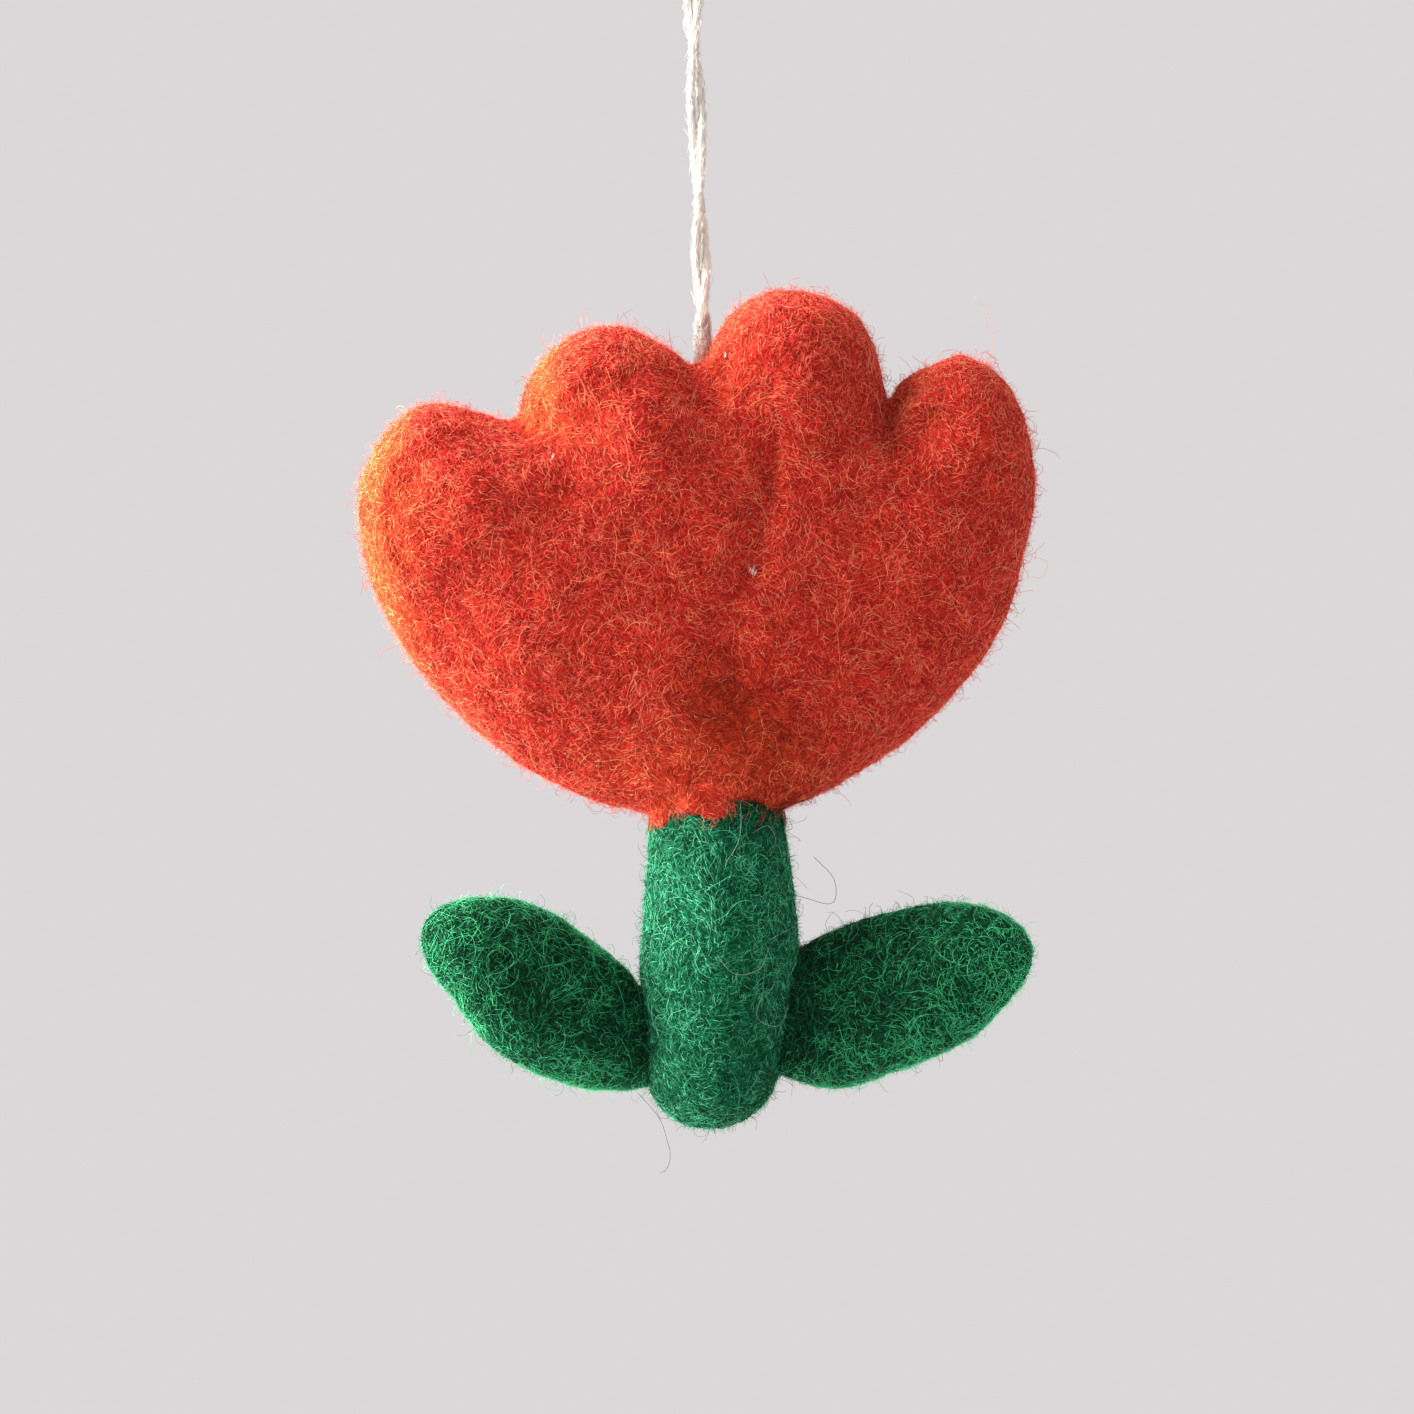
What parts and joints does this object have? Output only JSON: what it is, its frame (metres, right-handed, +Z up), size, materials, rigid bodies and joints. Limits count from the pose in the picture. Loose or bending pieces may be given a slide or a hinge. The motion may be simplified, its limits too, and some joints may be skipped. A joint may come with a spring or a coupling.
{
  "type": "felt flower ornament",
  "caption": "Hanging felt ornament: a plump red flower with rounded lobes on a green stem with leaves, hung from a loop of white cotton twine.",
  "frame": {"origin": "the point at the top of the twine loop where it rests on its hook", "axes": "+Z up along the hang, +X to the right seen from the front, the front of the flower faces -Y"},
  "size_m": [0.0803, 0.0232, 0.1722],
  "materials": {
    "red_felt": "needle-felted wool",
    "stem_felt": "needle-felted wool",
    "leaf_felt": "needle-felted wool",
    "core_wool": "undyed carded wool",
    "cotton_twine": "plied cotton"
  },
  "bodies": {
    "hanger": {"hanging_loop": "cotton_twine"},
    "neck": {"cord_neck": "cotton_twine"},
    "anchor": {"anchor_knot": "cotton_twine"},
    "bloom": {"petal_far_left": "red_felt", "petal_mid_left": "red_felt", "petal_mid_right": "red_felt", "petal_far_right": "red_felt", "flower_core": "core_wool", "stem": "stem_felt"},
    "left_leaf": {"leaf_left": "leaf_felt"},
    "right_leaf": {"leaf_right": "leaf_felt"}
  },
  "joints": [
    {"name": "twist", "type": "hinge", "parent": "hanger", "child": "neck", "pos_m": [0.0018, 0, -0.0838], "axis": [0, 0, 1], "range_deg": [-180, 180]},
    {"name": "nod", "type": "hinge", "parent": "neck", "child": "anchor", "pos_m": [0.0018, 0, -0.0838], "axis": [1, 0, 0], "range_deg": [-30, 30]},
    {"name": "sway", "type": "hinge", "parent": "anchor", "child": "bloom", "pos_m": [0.0018, 0, -0.0838], "axis": [0, 1, 0], "range_deg": [-12, 12]},
    {"name": "left_leaf_flex", "type": "hinge", "parent": "bloom", "child": "left_leaf", "pos_m": [-0.006, 0, -0.16], "axis": [0, 0, 1], "range_deg": [-15, 15], "stiffness_Nm_per_rad": 0.01},
    {"name": "right_leaf_flex", "type": "hinge", "parent": "bloom", "child": "right_leaf", "pos_m": [0.0132, 0, -0.16], "axis": [0, 0, -1], "range_deg": [-15, 15], "stiffness_Nm_per_rad": 0.01}
  ]
}
